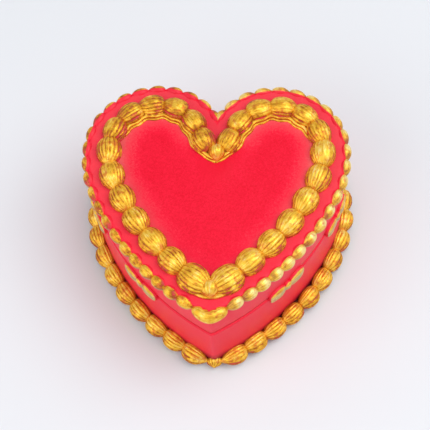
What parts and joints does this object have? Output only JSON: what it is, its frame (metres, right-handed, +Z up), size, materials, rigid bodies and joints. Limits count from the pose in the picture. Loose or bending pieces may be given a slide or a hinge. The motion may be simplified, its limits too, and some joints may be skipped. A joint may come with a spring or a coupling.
{
  "type": "wind-up music box",
  "caption": "Heart-shaped cake music box with piped shell borders, a lift-off lid over a felt-lined compartment, and a wind-up cylinder movement in its base.",
  "frame": {"origin": "on the resting plane, under the middle of the box's bounding box", "axes": "+Z up, +X to the right and -Y towards the pointed tip of the heart, which is the front"},
  "size_m": [0.1252, 0.1206, 0.0632],
  "materials": {
    "red_resin": "cast polyresin with a satin red lacquer",
    "gold_paint": "gold paint dry-brushed over red resin",
    "red_felt": "flat wool felt",
    "black_plastic": "fine moulded grain",
    "zinc": "die-cast, matt",
    "spring_steel": "ground",
    "steel": "turned, bright",
    "brass": "turned, bright",
    "nylon": "moulded, ivory"
  },
  "bodies": {
    "base": {"base_shell": "red_resin", "base_border": "gold_paint", "base_swags": "gold_paint", "compartment_lining": "red_felt", "bottom_plate": "black_plastic", "bottom_plate_screws": "steel", "movement_screws": "steel", "bedplate": "zinc", "comb": "spring_steel", "comb_screws": "steel", "spring_housing": "zinc", "mainspring": "spring_steel", "governor_bracket": "steel", "bracket_screw": "steel"},
    "lid": {"lid_shell": "red_resin", "lid_top_border": "gold_paint", "lid_rim_border": "gold_paint", "lid_swags": "gold_paint"},
    "cylinder_group": {"cylinder": "brass", "cylinder_shaft": "steel", "cylinder_pinion": "brass", "cylinder_gear": "brass"},
    "winding_group": {"winding_key": "brass", "winding_arbor": "steel", "crown_wheel": "brass"},
    "idler_group": {"idler_pinion": "steel", "worm_wheel": "nylon"},
    "governor_group": {"governor_worm": "steel", "governor_fan": "nylon"}
  },
  "joints": [
    {"name": "lid_lift", "type": "slide", "parent": "base", "child": "lid", "axis": [0, 0, 1], "range_m": [0, 0.045]},
    {"name": "cylinder_turn", "type": "hinge", "parent": "base", "child": "cylinder_group", "pos_m": [0.0102, 0.001, 0.0244], "axis": [1, 0, 0], "continuous": true},
    {"name": "winding_turn", "type": "hinge", "parent": "base", "child": "winding_group", "pos_m": [-0.0162, 0.001, 0.0244], "axis": [0, 0, 1], "continuous": true},
    {"name": "idler_turn", "type": "hinge", "parent": "base", "child": "idler_group", "pos_m": [0.0228, 0.00863, 0.022], "axis": [1, 0, 0], "continuous": true},
    {"name": "governor_turn", "type": "hinge", "parent": "base", "child": "governor_group", "pos_m": [0.025, 0.01362, 0.022], "axis": [0, 0, 1], "continuous": true}
  ],
  "couplings": [
    {"joint": "winding_turn", "follows": "cylinder_turn", "ratio": -0.2},
    {"joint": "idler_turn", "follows": "cylinder_turn", "ratio": -3},
    {"joint": "governor_turn", "follows": "cylinder_turn", "ratio": 18}
  ]
}
